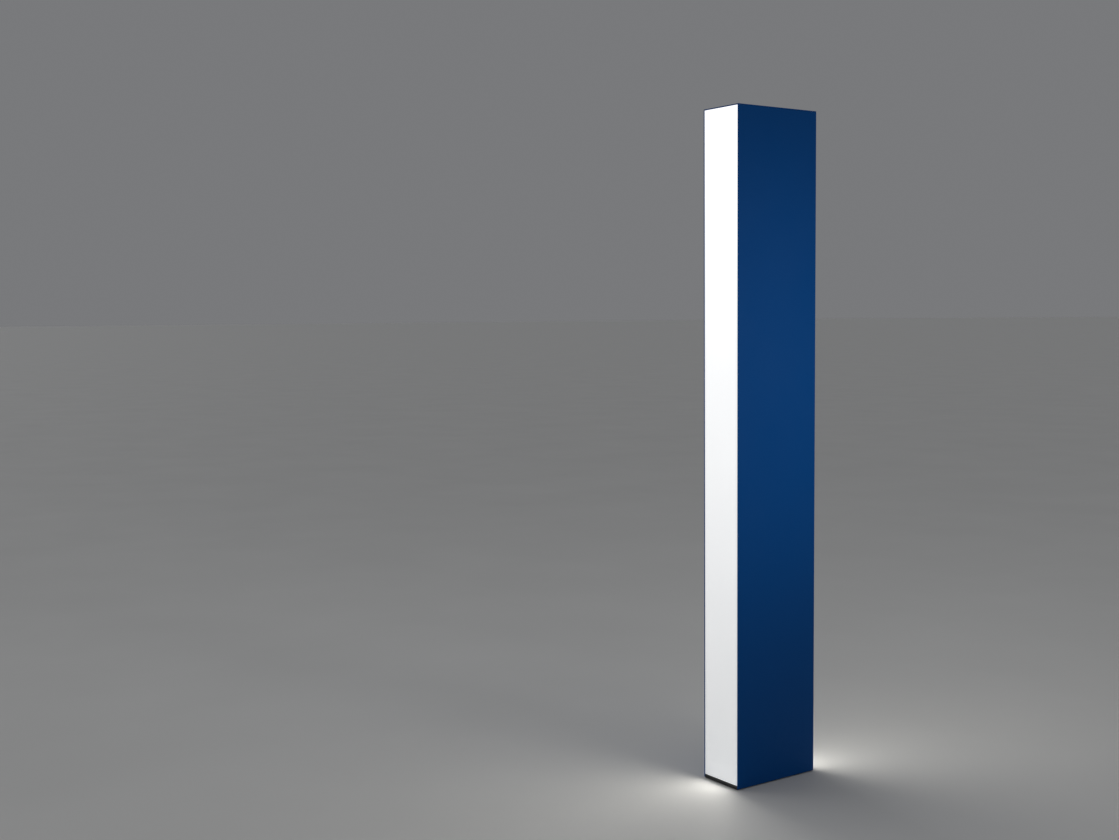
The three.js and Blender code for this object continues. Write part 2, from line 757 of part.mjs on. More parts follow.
// Grooved aluminium case with a mounting tab at each end.
function ledDriver() {
  const { width, depth, length, bottom, grooves, grooveDepth } = DRIVER;
  const [w, d] = [width / 2, depth / 2];
  const outline = [[-d, -w], [d, -w], [d, w], [-d, w]];
  const pitch = width / (grooves + 1);
  const [mouth, floor] = [2, 1.4]; // half the groove's width, outside and at its floor
  for (let i = grooves; i > 0; i -= 1) {
    const y = -w + i * pitch;
    outline.push([-d, y + mouth], [-d + grooveDepth, y + floor]);
    outline.push([-d + grooveDepth, y - floor], [-d, y - mouth]);
  }
  const { reach, thickness, inset } = DRIVER_TAB;
  const tabs = block([d - thickness, -w + inset, bottom - reach], [d, w - inset, bottom + length + reach]);
  return join(rise(polygon(...outline), bottom, bottom + length), tabs);
}

// Angle bridge over the cable opening that holds the gland.
function glandBracket() {
  const { level } = GLAND;
  const { half, foot, halfWidth } = GLAND_BRIDGE;
  const leaf = THIN_SHEET;
  const floor = BASE_TOP + GAP;
  const outline = polygon(
    [-half - foot, floor],
    [-half, floor],
    [-half, level - leaf],
    [half, level - leaf],
    [half, floor],
    [half + foot, floor],
    [half + foot, floor + leaf],
    [half + leaf, floor + leaf],
    [half + leaf, level],
    [-half - leaf, level],
    [-half - leaf, floor + leaf],
    [-half - foot, floor + leaf],
  );
  const hole = rod(GLAND.threadRadius + GAP, level - 6, level + 4);
  return cut(acrossX(outline, -halfWidth, halfWidth), hole);
}

// Gland body below the bracket, with its dome nut and a thread that stands up through the bracket.
function cableGland() {
  const { level, bore, threadRadius, threadRise, hexRadius, hexHeight } = GLAND;
  const seat = level - THIN_SHEET - GAP;
  const [bottom, top] = [seat - DOME.height, level + threadRise];
  const overlap = 1; // how far each stretch runs into the next
  const body = hexagon(hexRadius, seat - hexHeight, seat);
  const dome = turned([
    [0, bottom],
    [bore + 3, bottom],
    [hexRadius - 3, seat - DOME.shoulder],
    [hexRadius - 2, seat - hexHeight + overlap],
    [0, seat - hexHeight + overlap],
  ]);
  const thread = rod(threadRadius, seat - overlap, top);
  return cut(join(body, dome, thread), rod(bore, bottom - overlap, top + overlap));
}

function glandNut() {
  const { level, threadRadius, hexRadius } = GLAND;
  const floor = level + GAP;
  return cut(hexagon(hexRadius, floor, floor + 6), rod(threadRadius + GAP, floor - 1, floor + 8));
}

const LEAD_RADIUS = 2.2;

// Mains lead from the breaker's top up into a driver.
const mainsLead = (startY, endY) => {
  const top = RAIL.z + MODULE.half;
  return wire(
    [
      [DRIVER_X, startY, top + 2 * GAP],
      [DRIVER_X - 2, startY, top + 12],
      [DRIVER_X, (startY + endY) / 2, top + 24],
      [DRIVER_X, endY, top + 34],
      [DRIVER_X, endY, DRIVER.bottom - GAP],
    ],
    LEAD_RADIUS,
    16,
  );
};

// Low-voltage lead from a driver's top, through the grommet, to the tray in front.
const outputLead = () => {
  const top = DRIVER.bottom + DRIVER.length;
  return wire(
    [
      [DRIVER_X, -DRIVER.y, top + GAP],
      [DRIVER_X, -DRIVER.y, top + 14],
      [DRIVER_X - 8, -DRIVER.y - 12, top + 34],
      [16, -DRIVER.y - 36, top + 36],
      [3, -BAY_HALF + 12, LEAD_HOLE.z + 3],
      [0, -BAY_HALF + 2, LEAD_HOLE.z],
      [0, -BAY_HALF - TRAY.back - 2.5, LEAD_HOLE.z],
    ],
    LEAD_RADIUS,
    30,
  );
};

function addServiceBay() {
  const bay = new THREE.Group();
  place(bay, "mounting_plate", mountingPlate(), ZINC);
  place(bay, "din_rail", dinRail(), ZINC);
  place(bay, "circuit_breaker", circuitBreaker(), PALE_PLASTIC);
  const toggleY = (BREAKER.y0 + BREAKER.y1) / 2;
  place(bay, "breaker_toggle", breakerToggle(), BLACK_PLASTIC, [TOGGLE.x, toggleY, RAIL.z]);
  place(bay, "surge_arrester", moduleBody(ARRESTER.y0, ARRESTER.y1), GREY_PLASTIC);
  place(bay, "terminal_strip", terminalStrip(), GREY_PLASTIC);
  place(bay, "gland_bracket", glandBracket(), ZINC);
  place(bay, "cable_gland", cableGland(), BLACK_PLASTIC);
  place(bay, "gland_lock_nut", glandNut(), BLACK_PLASTIC);
  for (const [side, sign] of [["front", -1], ["rear", 1]]) {
    place(bay, `${side}_led_driver`, ledDriver(), ALUMINIUM, [DRIVER_X, sign * DRIVER.y, 0]);
    const startY = toggleY + sign * 8;
    place(bay, `${side}_mains_lead`, mainsLead(startY, sign * DRIVER.y), BLACK_PLASTIC);
    const output = place(bay, `${side}_output_lead`, outputLead(), BLACK_PLASTIC);
    output.scale.y = -sign;
  }
  column.add(bay);
}

addBase();
addFrame();
addSkins();
addLightEngine("front", 0);
addLightEngine("rear", Math.PI);
addServiceDoor();
addServiceBay();

export default column;
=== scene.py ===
"""Looks of the free-standing LED light column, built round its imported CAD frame.

Pieces are drawn in millimetres in the column's own frame: +Z up, front lit face at -Y, plain blue side
at +X, service door at -X. A mesh is turned to metres when its piece is made. Node textures, lights and
the camera are in metres.
"""

import json
import math

import bmesh
import bpy
from mathutils import Matrix, Vector


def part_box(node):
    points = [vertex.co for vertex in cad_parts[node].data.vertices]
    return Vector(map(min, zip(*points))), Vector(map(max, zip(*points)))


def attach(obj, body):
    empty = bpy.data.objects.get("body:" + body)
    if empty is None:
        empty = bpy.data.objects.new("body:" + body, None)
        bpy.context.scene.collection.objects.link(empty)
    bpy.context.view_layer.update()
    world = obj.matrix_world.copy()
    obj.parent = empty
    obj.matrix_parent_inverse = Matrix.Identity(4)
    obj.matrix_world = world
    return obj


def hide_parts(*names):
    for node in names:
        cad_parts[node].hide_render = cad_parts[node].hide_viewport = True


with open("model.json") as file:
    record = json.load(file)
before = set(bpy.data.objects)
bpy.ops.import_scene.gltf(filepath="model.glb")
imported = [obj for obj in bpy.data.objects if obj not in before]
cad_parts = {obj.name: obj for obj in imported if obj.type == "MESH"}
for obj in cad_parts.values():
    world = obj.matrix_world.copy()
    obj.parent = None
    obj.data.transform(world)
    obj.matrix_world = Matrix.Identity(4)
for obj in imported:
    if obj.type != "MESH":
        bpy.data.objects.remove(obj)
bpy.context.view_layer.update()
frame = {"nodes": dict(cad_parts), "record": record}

MM = 0.001
BODY_OF = {n: b for b, nodes in frame["record"]["behaviour"]["bodies"].items() for n in nodes}
SLOT_OF = {s["node"]: s["material_slot"] for s in frame["record"]["subparts"]}
SIDES = {"front": -1, "rear": 1}  # the way along Y that each light engine faces
ENDS = ("upper", "lower")
CORNERS = ("front_right", "front_left", "rear_right", "rear_left")

# A side's LED boards, from bottom to top, and the layout of one: two columns of LEDs, three rows of
# screws and a connector at each end.
BOARD_COUNT = 4
LED = {"rows": 12, "x": 22.5, "half": 2.5, "package": 0.8, "height": 1.4}
BOARD_SCREW = {"x": 40, "inset": 60}
CONNECTOR = {"inset": 7, "half": (6, 4), "height": 1.3, "pin_x": 3}


def span(node):
    """Lowest and highest corner of a CAD node, in millimetres."""
    low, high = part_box(node)
    return low / MM, high / MM


def at_centre(node, z=None):
    """Centre of a node's box, or that point at height z."""
    low, high = span(node)
    middle = (low + high) / 2
    return Vector((middle.x, middle.y, middle.z if z is None else z))


# ------------------------------------------------------------------ materials


class Surface:
    """A Principled material and the few node patterns that the finishes share."""

    def __init__(self, name, colour, roughness, metallic=0.0):
        self.material = bpy.data.materials.new(name)
        self.material.use_nodes = True
        self.tree = self.material.node_tree
        self.shader = self.tree.nodes["Principled BSDF"]
        self.colour = colour
        self.set("Base Color", (*colour, 1.0))
        self.set("Roughness", roughness)
        self.set("Metallic", metallic)
        self.place = self.node("ShaderNodeTexCoord").outputs["Object"]

    def set(self, socket, value):
        self.shader.inputs[socket].default_value = value
        return self

    def drive(self, socket, source):
        """Let a node's output set one of the shader's sockets."""
        self.tree.links.new(source, self.shader.inputs[socket])
        return self

    def node(self, kind, links=None, **settings):
        made = self.tree.nodes.new(kind)
        for key, value in settings.items():
            setattr(made, key, value)
        for socket, value in (links or {}).items():
            if isinstance(value, bpy.types.NodeSocket):
                self.tree.links.new(value, made.inputs[socket])
            else:
                made.inputs[socket].default_value = value
        return made

    def maths(self, operation, *values):
        return self.node("ShaderNodeMath", dict(enumerate(values)), operation=operation).outputs["Value"]

    def axis(self, name):
        """One coordinate of the shaded point, in metres."""
        return self.node("ShaderNodeSeparateXYZ", {"Vector": self.place}).outputs[name]

    def noise(self, scale, detail, stretch=(1, 1, 1)):
        """Noise with features of about 1/scale metres, drawn out along an axis by a small stretch."""
        place = self.node("ShaderNodeMapping", {"Vector": self.place, "Scale": stretch})
        links = {"Vector": place.outputs["Vector"], "Scale": scale, "Detail": detail}
        return self.node("ShaderNodeTexNoise", links).outputs["Fac"]

    def ranged(self, value, low, high, start=0.3, end=0.7):
        links = {"Value": value, "From Min": start, "From Max": end, "To Min": low, "To Max": high}
        return self.node("ShaderNodeMapRange", links).outputs["Result"]

    def mixed(self, factor, first, second):
        mix = self.node("ShaderNodeMix", {"Factor": factor}, data_type="RGBA")
        for socket, value in ((mix.inputs[6], first), (mix.inputs[7], second)):
            if isinstance(value, bpy.types.NodeSocket):
                self.tree.links.new(value, socket)
            else:
                socket.default_value = (*value, 1.0)
        return mix.outputs[2]

    def tint(self, scale, amount, stretch=(1, 1, 1), detail=2.0):
        """Lighter and darker patches of the base colour."""
        noise = self.ranged(self.noise(scale, detail, stretch), 0.0, 1.0)
        dark = tuple(c * (1 - amount) for c in self.colour)
        light = tuple(min(1.0, c * (1 + amount)) for c in self.colour)
        return self.drive("Base Color", self.mixed(noise, dark, light))

    def sheen_map(self, scale, low, high, stretch=(1, 1, 1)):
        """Roughness that wanders between low and high."""
        noise = self.noise(scale, 3.0, stretch)
        return self.drive("Roughness", self.ranged(noise, low, high))

    def relief(self, height, depth, strength=1.0):
        """Surface relief depth millimetres high, from a node's output."""
        links = {"Height": height, "Strength": strength, "Distance": depth * MM}
        return self.drive("Normal", self.node("ShaderNodeBump", links).outputs["Normal"])

    def bump(self, scale, depth, stretch=(1, 1, 1), detail=2.0):
        """Random surface relief depth millimetres high."""
        return self.relief(self.noise(scale, detail, stretch), depth)


# The lit cover's brightness at shares of the column's height; it is 1 at the top.
GLOW_LEVELS = ((0.11, 0.49), (0.25, 0.59), (0.43, 0.71), (0.65, 0.82), (0.82, 0.90))


def opal():
    """Opal cover lit from inside: brightest at the top, and a little dimmer towards its side edges."""
    made = Surface("opal_acrylic_lit", (0.72, 0.73, 0.74), 0.32)
    height = made.ranged(made.axis("Z"), 0, 1, 0, 2)
    glow = made.node("ShaderNodeValToRGB", {"Fac": height})
    ramp = glow.color_ramp
    ramp.elements[0].color = (0.37, 0.381, 0.393, 1)
    ramp.elements[1].color = (1.0, 1.0, 1.0, 1)
    for share, level in GLOW_LEVELS:
        ramp.elements.new(share).color = (level * 0.985, level * 0.993, level, 1)
    rim = made.ranged(made.maths("ABSOLUTE", made.axis("X")), 1.0, 0.9, 0.060, 0.0712)
    cloud = made.ranged(made.noise(5.0, 1.0), 0.985, 1.015)
    made.drive("Emission Color", glow.outputs["Color"])
    made.drive("Emission Strength", made.maths("MULTIPLY", rim, cloud))
    return made.bump(90, 0.01).set("Specular IOR Level", 0.35).material


def board_mask():
    """White solder mask with two broad copper tracks showing faintly through it."""
    mask, track = (0.80, 0.81, 0.78), (0.70, 0.69, 0.60)
    made = Surface("led_board_mask", mask, 0.38)
    side = made.maths("ABSOLUTE", made.axis("X"))
    off_track = made.maths("ABSOLUTE", made.maths("SUBTRACT", side, LED["x"] * MM))
    copper = made.ranged(off_track, 1.0, 0.0, 0.0062, 0.0066)
    made.drive("Base Color", made.mixed(copper, mask, track))
    return made.relief(copper, 0.04, 0.6).material


def plastic(name, colour, roughness=0.45):
    made = Surface(name, colour, roughness)
    return made.tint(1400, 0.05).sheen_map(60, roughness - 0.06, roughness + 0.08).bump(2200, 0.01).material


def banded(name, first, second, per_metre):
    """Plastic in level bands of two colours, with so many pairs to a metre."""
    made = Surface(name, first, 0.4)
    share = made.maths("FRACT", made.maths("MULTIPLY", made.axis("Z"), per_metre))
    made.drive("Base Color", made.mixed(made.maths("GREATER_THAN", share, 0.5), first, second))
    return made.sheen_map(60, 0.34, 0.5).bump(2200, 0.01).material


def metal(name, colour, roughness, grain=(1, 1, 1), depth=0.004):
    """Bare metal; grain is the noise stretch along X, Y and Z, small along a drawn or brushed grain."""
    made = Surface(name, colour, roughness, 1.0)
    made.tint(900, 0.10, grain).sheen_map(700, roughness - 0.08, roughness + 0.12, grain)
    return made.bump(1500, depth, grain).material


def blue_coat():
    """Blue powder coat: a fine speckle, broad faint patches and a low orange-peel relief."""
    made = Surface("blue_powder_coat", (0.0004, 0.073, 0.285), 0.4)
    fine = made.ranged(made.noise(1500, 2), 0.0, 1.0)
    speckled = made.mixed(fine, (0.0003, 0.068, 0.267), (0.0005, 0.078, 0.303))
    wide = made.ranged(made.noise(2.2, 2), 0.0, 0.35)
    made.drive("Base Color", made.mixed(wide, speckled, (0.0003, 0.065, 0.259)))
    made.sheen_map(7, 0.34, 0.44).bump(620, 0.05, detail=3.0)
    return made.set("Specular IOR Level", 0.09).material


def black_coat():
    made = Surface("black_powder_coat", (0.0045, 0.005, 0.0065), 0.5)
    return made.tint(1100, 0.25).sheen_map(12, 0.42, 0.6).bump(800, 0.03).material


def white_coat():
    made = Surface("white_powder_coat", (0.86, 0.86, 0.85), 0.55)
    return made.tint(900, 0.02).sheen_map(15, 0.5, 0.62).bump(700, 0.02).material


def rubber():
    made = Surface("black_rubber", (0.011, 0.011, 0.012), 0.8)
    return made.tint(500, 0.3).sheen_map(90, 0.7, 0.9).bump(400, 0.05).material


def phosphor():
    """Yellow lens of a lit LED."""
    made = Surface("led_phosphor", (0.85, 0.62, 0.12), 0.3).tint(2600, 0.12).bump(3000, 0.01)
    return made.set("Emission Color", (1.0, 0.93, 0.78, 1)).set("Emission Strength", 2.2).material


FINISH = {
    "blue_powder_coat": blue_coat(),
    "black_powder_coat": black_coat(),
    "white_powder_coat": white_coat(),
    "extruded_aluminium": metal("drawn_aluminium", (0.62, 0.63, 0.65), 0.38, (1, 1, 0.02), 0.0008),
    "zinc_plated_steel": metal("zinc_plate", (0.50, 0.51, 0.53), 0.36, depth=0.0015),
    "opal_acrylic": opal(),
    "led_board_white": board_mask(),
    "pale_grey_plastic": plastic("pale_grey_plastic", (0.66, 0.67, 0.67)),
    "grey_plastic": plastic("grey_plastic", (0.19, 0.205, 0.22)),
    "black_plastic": plastic("black_plastic", (0.012, 0.012, 0.014), 0.4),
    "black_rubber": rubber(),
}
LED_BODY = plastic("led_ceramic", (0.82, 0.82, 0.80), 0.35)
BRASS = metal("screw_brass", (0.56, 0.42, 0.18), 0.3)
BLUE_PLASTIC = plastic("blue_plastic", (0.02, 0.09, 0.42))
GREEN_PLASTIC = plastic("green_plastic", (0.03, 0.28, 0.06))
AMBER_PLASTIC = plastic("amber_plastic", (0.72, 0.50, 0.02))
BROWN_PLASTIC = plastic("brown_plastic", (0.10, 0.035, 0.012))
RED_PLASTIC = plastic("red_plastic", (0.45, 0.02, 0.015))
# Near-black plastic painted into screw recesses, well floors and wire funnels as the shade in those holes.
PAINTED_RECESS_SHADE = plastic("painted_recess_shade", (0.006, 0.006, 0.007), 0.7)
EARTH_SLEEVE = banded("earth_sleeve", (0.03, 0.28, 0.06), (0.80, 0.62, 0.03), 110)
PHOSPHOR = phosphor()


# ------------------------------------------------------------------ mesh helpers

TO_YZ = Matrix(((0, 0, 1), (1, 0, 0), (0, 1, 0))).to_4x4()  # lays a (y, z) outline's depth along +X
TO_XZ = Matrix(((1, 0, 0), (0, 0, -1), (0, 1, 0))).to_4x4()  # lays an (x, z) outline's depth along -Y
SHARP = math.radians(32)  # edges that turn further than this are edges, not smooth surface


def block(bm, low, high, material):
    """Add a box between two corners."""
    low, high = Vector(low), Vector(high)
    middle = Matrix.Translation((low + high) / 2)
    made = bmesh.ops.create_cube(bm, size=1.0, matrix=middle @ Matrix.Diagonal((*(high - low), 1)))
    for face in {f for v in made["verts"] for f in v.link_faces}:
        face.material_index = material


def prism(bm, outline, depth, turn, material=0):
    """Add an outline of (u, v) points swept depth along the third axis, then turned into place."""
    ends = [[bm.verts.new(turn @ Vector((u, v, w))) for u, v in outline] for w in (0.0, depth)]
    faces = [bm.faces.new(ends[0][::-1]), bm.faces.new(ends[1])]
    for i in range(len(outline)):
        j = (i + 1) % len(outline)
        faces.append(bm.faces.new((ends[0][i], ends[0][j], ends[1][j], ends[1][i])))
    for face in faces:
        face.material_index = material


def side_prism(bm, outline, y0, y1, material):
    """Add an (x, z) outline carried from y0 to y1."""
    prism(bm, outline, y1 - y0, Matrix.Translation((0, y1, 0)) @ TO_XZ, material)


def polygon_share(angle, sides):
    """Distance from centre to edge at an angle, as a share of the corner radius; 0 sides is a circle."""
    if not sides:
        return 1.0
    half = math.pi / sides
    return math.cos(half) / math.cos((angle % (2 * half)) - half)


def turned(bm, profile, turn, steps=48, material=0):
    """Add a piece turned about its Z axis from (radius, height) points, from bottom to top.

    A third number in a point makes that ring a polygon with so many corners. A profile that starts on
    the axis is solid, and one that doesn't closes on itself as a ring.
    """
    rings = []
    angles = [2 * math.pi * i / steps for i in range(steps)]
    for radius, height, *sides in profile:
        if radius == 0:
            rings.append([bm.verts.new(turn @ Vector((0, 0, height)))])
            continue
        reach = [radius * polygon_share(a, sides[0] if sides else 0) for a in angles]
        ring = [(r * math.cos(a), r * math.sin(a), height) for r, a in zip(reach, angles)]
        rings.append([bm.verts.new(turn @ Vector(p)) for p in ring])
    pairs = list(zip(rings, rings[1:]))
    if profile[0][0] > 0:
        pairs.append((rings[-1], rings[0]))
    for low, high in pairs:
        for i in range(steps):
            j = (i + 1) % steps
            corners = [low[i % len(low)], low[j % len(low)], high[j % len(high)], high[i % len(high)]]
            corners = list(dict.fromkeys(corners))
            if len(corners) > 2:
                bm.faces.new(corners).material_index = material


def smooth_path(route):
    """Points along a Catmull-Rom curve through the points of route."""
    steps = 8  # from each point of the route to the next
    points = [Vector(p) for p in route]
    points = [points[0] * 2 - points[1], *points, points[-1] * 2 - points[-2]]
    path = []
    for a, b, c, d in zip(points, points[1:], points[2:], points[3:]):
        for i in range(steps):
            t = i / steps
            linear, square, cube = c - a, 2 * a - 5 * b + 4 * c - d, 3 * b - a - 3 * c + d
            path.append((2 * b + linear * t + square * t**2 + cube * t**3) / 2)
    path.append(points[-2])
    return path


def tube(bm, route, radius, sides=12, material=0):
    """Add a round wire along a smooth curve through the points of route."""
    path = smooth_path(route)
    across = (path[1] - path[0]).normalized().orthogonal().normalized()
    angles = [2 * math.pi * k / sides for k in range(sides)]
    rings = []
    for i, point in enumerate(path):
        along = (path[min(i + 1, len(path) - 1)] - path[max(i - 1, 0)]).normalized()
        across = (across - along * across.dot(along)).normalized()
        other = along.cross(across)
        ring = [point + (across * math.cos(a) + other * math.sin(a)) * radius for a in angles]
        rings.append([bm.verts.new(p) for p in ring])
    faces = [bm.faces.new(rings[0][::-1]), bm.faces.new(rings[-1])]
    for low, high in zip(rings, rings[1:]):
        for k in range(sides):
            m = (k + 1) % sides
            faces.append(bm.faces.new((low[k], low[m], high[m], high[k])))
    for face in faces:
        face.material_index = material


def facing_right(x, y, z):
    """Turn that points a piece's Z axis at +X, with its foot at (x, y, z)."""
    return Matrix.Translation((x, y, z)) @ Matrix.Rotation(math.pi / 2, 4, "Y")


def facing_door(x, y, z):
    """Turn that points a piece's Z axis out of the bay, at -X."""
    return Matrix.Translation((x, y, z)) @ Matrix.Rotation(-math.pi / 2, 4, "Y")


def facing_front(x, y, z):
    """Turn that points a piece's Z axis at -Y."""
    return Matrix.Translation((x, y, z)) @ Matrix.Rotation(math.pi / 2, 4, "X")


def facing_rear(x, y, z):
    """Turn that points a piece's Z axis at +Y."""
    return Matrix.Translation((x, y, z)) @ Matrix.Rotation(-math.pi / 2, 4, "X")


# ------------------------------------------------------------------ making pieces


def add_piece(name, mesh, body, materials, bevel, stands_for=(), turn=0.0):
    """Object of a mesh in metres that rides on a CAD body, with rounded edges bevel millimetres wide."""
    piece = bpy.data.objects.new(name, mesh)
    bpy.context.scene.collection.objects.link(piece)
    for material in materials:
        mesh.materials.append(material)
    mesh.shade_smooth()
    mesh.set_sharp_from_angle(angle=SHARP)
    if bevel:
        edges = piece.modifiers.new("rounded_edges", "BEVEL")
        edges.width = bevel * MM
        edges.segments = 3
        edges.limit_method = "ANGLE"
        edges.angle_limit = SHARP
        edges.harden_normals = True
    piece.rotation_euler.z = turn
    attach(piece, body)
    if stands_for:
        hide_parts(*stands_for)


def mesh_of(bm, name):
    """Mesh in metres from a bmesh in millimetres."""
    bmesh.ops.recalc_face_normals(bm, faces=bm.faces)
    bmesh.ops.scale(bm, vec=(MM, MM, MM), verts=bm.verts)
    mesh = bpy.data.meshes.new(name)
    bm.to_mesh(mesh)
    bm.free()
    return mesh


def add_extra(name, bm, body, materials, bevel=0.0):
    """Small piece that has no CAD node."""
    add_piece(name, mesh_of(bm, name), body, materials, bevel)


def add_remade(node, bm, materials=None, bevel=0.0):
    """Finer piece, drawn afresh, in place of a CAD node."""
    slot = SLOT_OF[node]
    name = node + "_fine"
    add_piece(name, mesh_of(bm, name), BODY_OF[node], materials or [FINISH[slot]], bevel, (node,))


def add_turned(node, profile, turn, steps=48):
    """Finely turned piece in place of a CAD node."""
    bm = bmesh.new()
    turned(bm, profile, turn, steps)
    add_remade(node, bm)


def add_fine(node, bevel):
    """Copy of a CAD node with its flat faces merged and its edges rounded."""
    bm = bmesh.new()
    bm.from_mesh(frame["nodes"][node].data)
    bmesh.ops.remove_doubles(bm, verts=bm.verts, dist=1e-6)
    bmesh.ops.dissolve_limit(bm, angle_limit=math.radians(0.5), verts=bm.verts, edges=bm.edges)
    mesh = bpy.data.meshes.new(node + "_fine")
    bm.to_mesh(mesh)
    bm.free()
    slot = SLOT_OF[node]
    add_piece(node + "_fine", mesh, BODY_OF[node], [FINISH[slot]], bevel, (node,))


# ------------------------------------------------------------------ skins, frame and sheet-metal pieces

# Bevel in millimetres, and the nodes that keep their CAD shape under it.
EDGE_ROUNDING = {
    0.8: ["base_plate"],
    0.7: ["right_side_panel", "left_side_panel", "service_door"],
    0.6: ["top_cap"],
    0.5: ["door_gasket"],
    0.4: ["top_frame", "door_stop_frame", "door_pivot_bracket_upper", "door_pivot_bracket_lower",
          "mounting_plate", "gland_bracket"],
    0.35: ["front_opal_cover", "rear_opal_cover"],
    0.3: ["front_light_tray", "rear_light_tray", "cross_brace_lower", "cross_brace_middle",
          "cross_brace_upper", *("corner_post_" + corner for corner in CORNERS)],
    0.25: ["din_rail"],
}
for bevel, nodes in EDGE_ROUNDING.items():
    for node in nodes:
        add_fine(node, bevel)


# ------------------------------------------------------------------ turned fasteners and fittings


def threaded(radius, depth, low, high, pitch):
    """Profile of a thread's ridges from low to high."""
    count = int((high - low) / pitch)
    points = []
    for i in range(count):
        z = low + i * pitch
        points += [(radius - depth, z), (radius, z + pitch * 0.5)]
    return points + [(radius - depth, low + count * pitch)]


def levelling_foot(corner):
    """Round pad under a threaded stud with a hexagon socket in its top."""
    node = "levelling_foot_" + corner
    pad = [(0, 0), (12.6, 0), (13.6, 0.4), (14.0, 1.0), (13.7, 1.6), (13.2, 1.7), (5.0, 1.7), (4.6, 2.1)]
    stud = threaded(5.0, 0.45, 2.6, 32.6, 1.5)
    socket = [(4.2, 33.2), (3.9, 34.0), (2.6, 34.0, 6), (2.5, 29.0, 6), (0, 28.6)]
    add_turned(node, pad + stud + socket, Matrix.Translation(at_centre(node, 0)), 36)


def cap_screw(corner):
    """Countersunk screw with a hexagon socket."""
    node = "cap_screw_" + corner
    low, high = span(node)
    top = high.z
    shank = [(0, low.z), (2.0, low.z)] + threaded(2.5, 0.3, low.z + 0.8, top - 5.0, 0.8)
    head = [(2.45, top - 2.8), (4.7, top - 0.35), (4.95, top - 0.2), (4.9, top), (1.9, top)]
    socket = [(1.75, top - 0.15, 6), (1.7, top - 1.8, 6), (0, top - 2.1)]
    add_turned(node, shank + head + socket, Matrix.Translation(at_centre(node, 0)))


def pivot_pin(end):
    """Headed pin; the lower one stands head down."""
    node = "door_pivot_pin_" + end
    low, high = span(node)
    pin = [(0, 0), (2.1, 0), (2.5, 0.5), (2.5, 18.0), (3.4, 18.0), (3.6, 18.3), (3.6, 19.6), (3.1, 20.2),
           (0, 20.2)]
    turn = Matrix.Translation(at_centre(node, low.z))
    if end == "lower":
        turn = Matrix.Translation(at_centre(node, high.z)) @ Matrix.Rotation(math.pi, 4, "X")
    add_turned(node, pin, turn)


def lock_nut(end):
    node = "lock_nut_" + end
    low, high = span(node)
    thick = high.x - low.x
    ring = [(9.3, 0), (11.4, 0), (12.0, 0.5, 6), (12.0, thick - 0.5, 6), (11.4, thick), (9.3, thick)]
    add_turned(node, ring, facing_right(low.x, *at_centre(node).yz))


def lock_cam(end):
    """Barrel with a three-cornered key recess outside, and a cam held by a nut inside."""
    node = "lock_cam_" + end
    low, high = span(node)
    radius, half, cam_thick = 9, 6, 3
    y, z = at_centre(node).y, low.z + radius
    thick = high.x - low.x
    bm = bmesh.new()
    key = [(0, 1.3), (4.1, 1.3, 3), (4.5, 1.7, 3), (4.5, 5.0, 3)]
    rim = [(6.1, 5.0), (6.1, 0.35), (6.5, 0.0), (8.5, 0.0), (8.95, 0.4)]
    barrel = [(8.95, thick - 4.0), (8.6, thick - 3.3), (6.5, thick - 3.2)]
    shank = [(6.5, thick - 0.2), (0, thick - 0.2)]
    turned(bm, key + rim + barrel + shank, facing_right(low.x, y, z))
    outline = [(-half, -half), (half, -half), (half, 24), (3.6, 30), (-3.6, 30), (-half, 24)]
    prism(bm, outline, cam_thick, Matrix.Translation((high.x - cam_thick, y, z)) @ TO_YZ)
    nut = [(0, 0), (5.0, 0), (5.2, 0.4, 6), (5.2, 2.4, 6), (4.6, 2.8), (2.4, 2.8), (2.2, 3.6), (0, 3.6)]
    turned(bm, nut, facing_right(high.x, y, z))
    add_remade(node, bm, bevel=0.25)


def lead_grommet(side, sign):
    """Rubber ring with its wide lip on the side of the bay."""
    node = side + "_lead_grommet"
    low, high = span(node)
    ring = [(2.6, 0.5), (3.0, 0.0), (6.4, 0.0), (7.0, 0.6), (7.0, 1.5), (6.6, 2.0), (4.7, 2.0), (4.7, 4.6),
            (4.5, 5.3), (4.0, 5.5), (3.0, 5.5), (2.6, 5.0)]
    foot = high.y if sign < 0 else low.y
    facing = facing_front if sign < 0 else facing_rear
    add_turned(node, ring, facing(0, foot, at_centre(node).z))


def cable_gland():
    """Domed nut under a hexagon body, with a thread that stands up through the bracket."""
    dome = [(6.5, 0), (7.5, 0), (9.6, 0.4), (12.2, 3.2), (13.6, 7.0), (14.4, 20.8)]
    hexagon = [(15.6, 21.0, 6), (16.5, 21.8, 6), (16.5, 29.2, 6), (15.6, 30.0, 6), (12.0, 30.0)]
    thread = threaded(12.0, 0.6, 31.0, 43.0, 1.5) + [(10.8, 44.3), (6.5, 44.3)]
    foot = span("cable_gland")[0].z
    add_turned("cable_gland", dome + hexagon + thread, Matrix.Translation((0, 0, foot)))


def gland_lock_nut():
    ring = [(12.3, 0), (15.4, 0), (16.5, 0.8, 6), (16.5, 5.2, 6), (15.4, 6.0), (12.3, 6.0)]
    foot = span("gland_lock_nut")[0].z
    add_turned("gland_lock_nut", ring, Matrix.Translation((0, 0, foot)))


for corner in CORNERS:
    levelling_foot(corner)
    cap_screw(corner)
for end in ENDS:
    pivot_pin(end)
    lock_nut(end)
    lock_cam(end)
for side, sign in SIDES.items():
    lead_grommet(side, sign)
    add_fine(side + "_mains_lead", 0.0)
    add_fine(side + "_output_lead", 0.0)
cable_gland()
gland_lock_nut()


# ------------------------------------------------------------------ light engine

BOARD_PARTS = [FINISH["led_board_white"], LED_BODY, PHOSPHOR, FINISH["zinc_plated_steel"]]
MASK, BODY, LENS, STEEL = range(len(BOARD_PARTS))


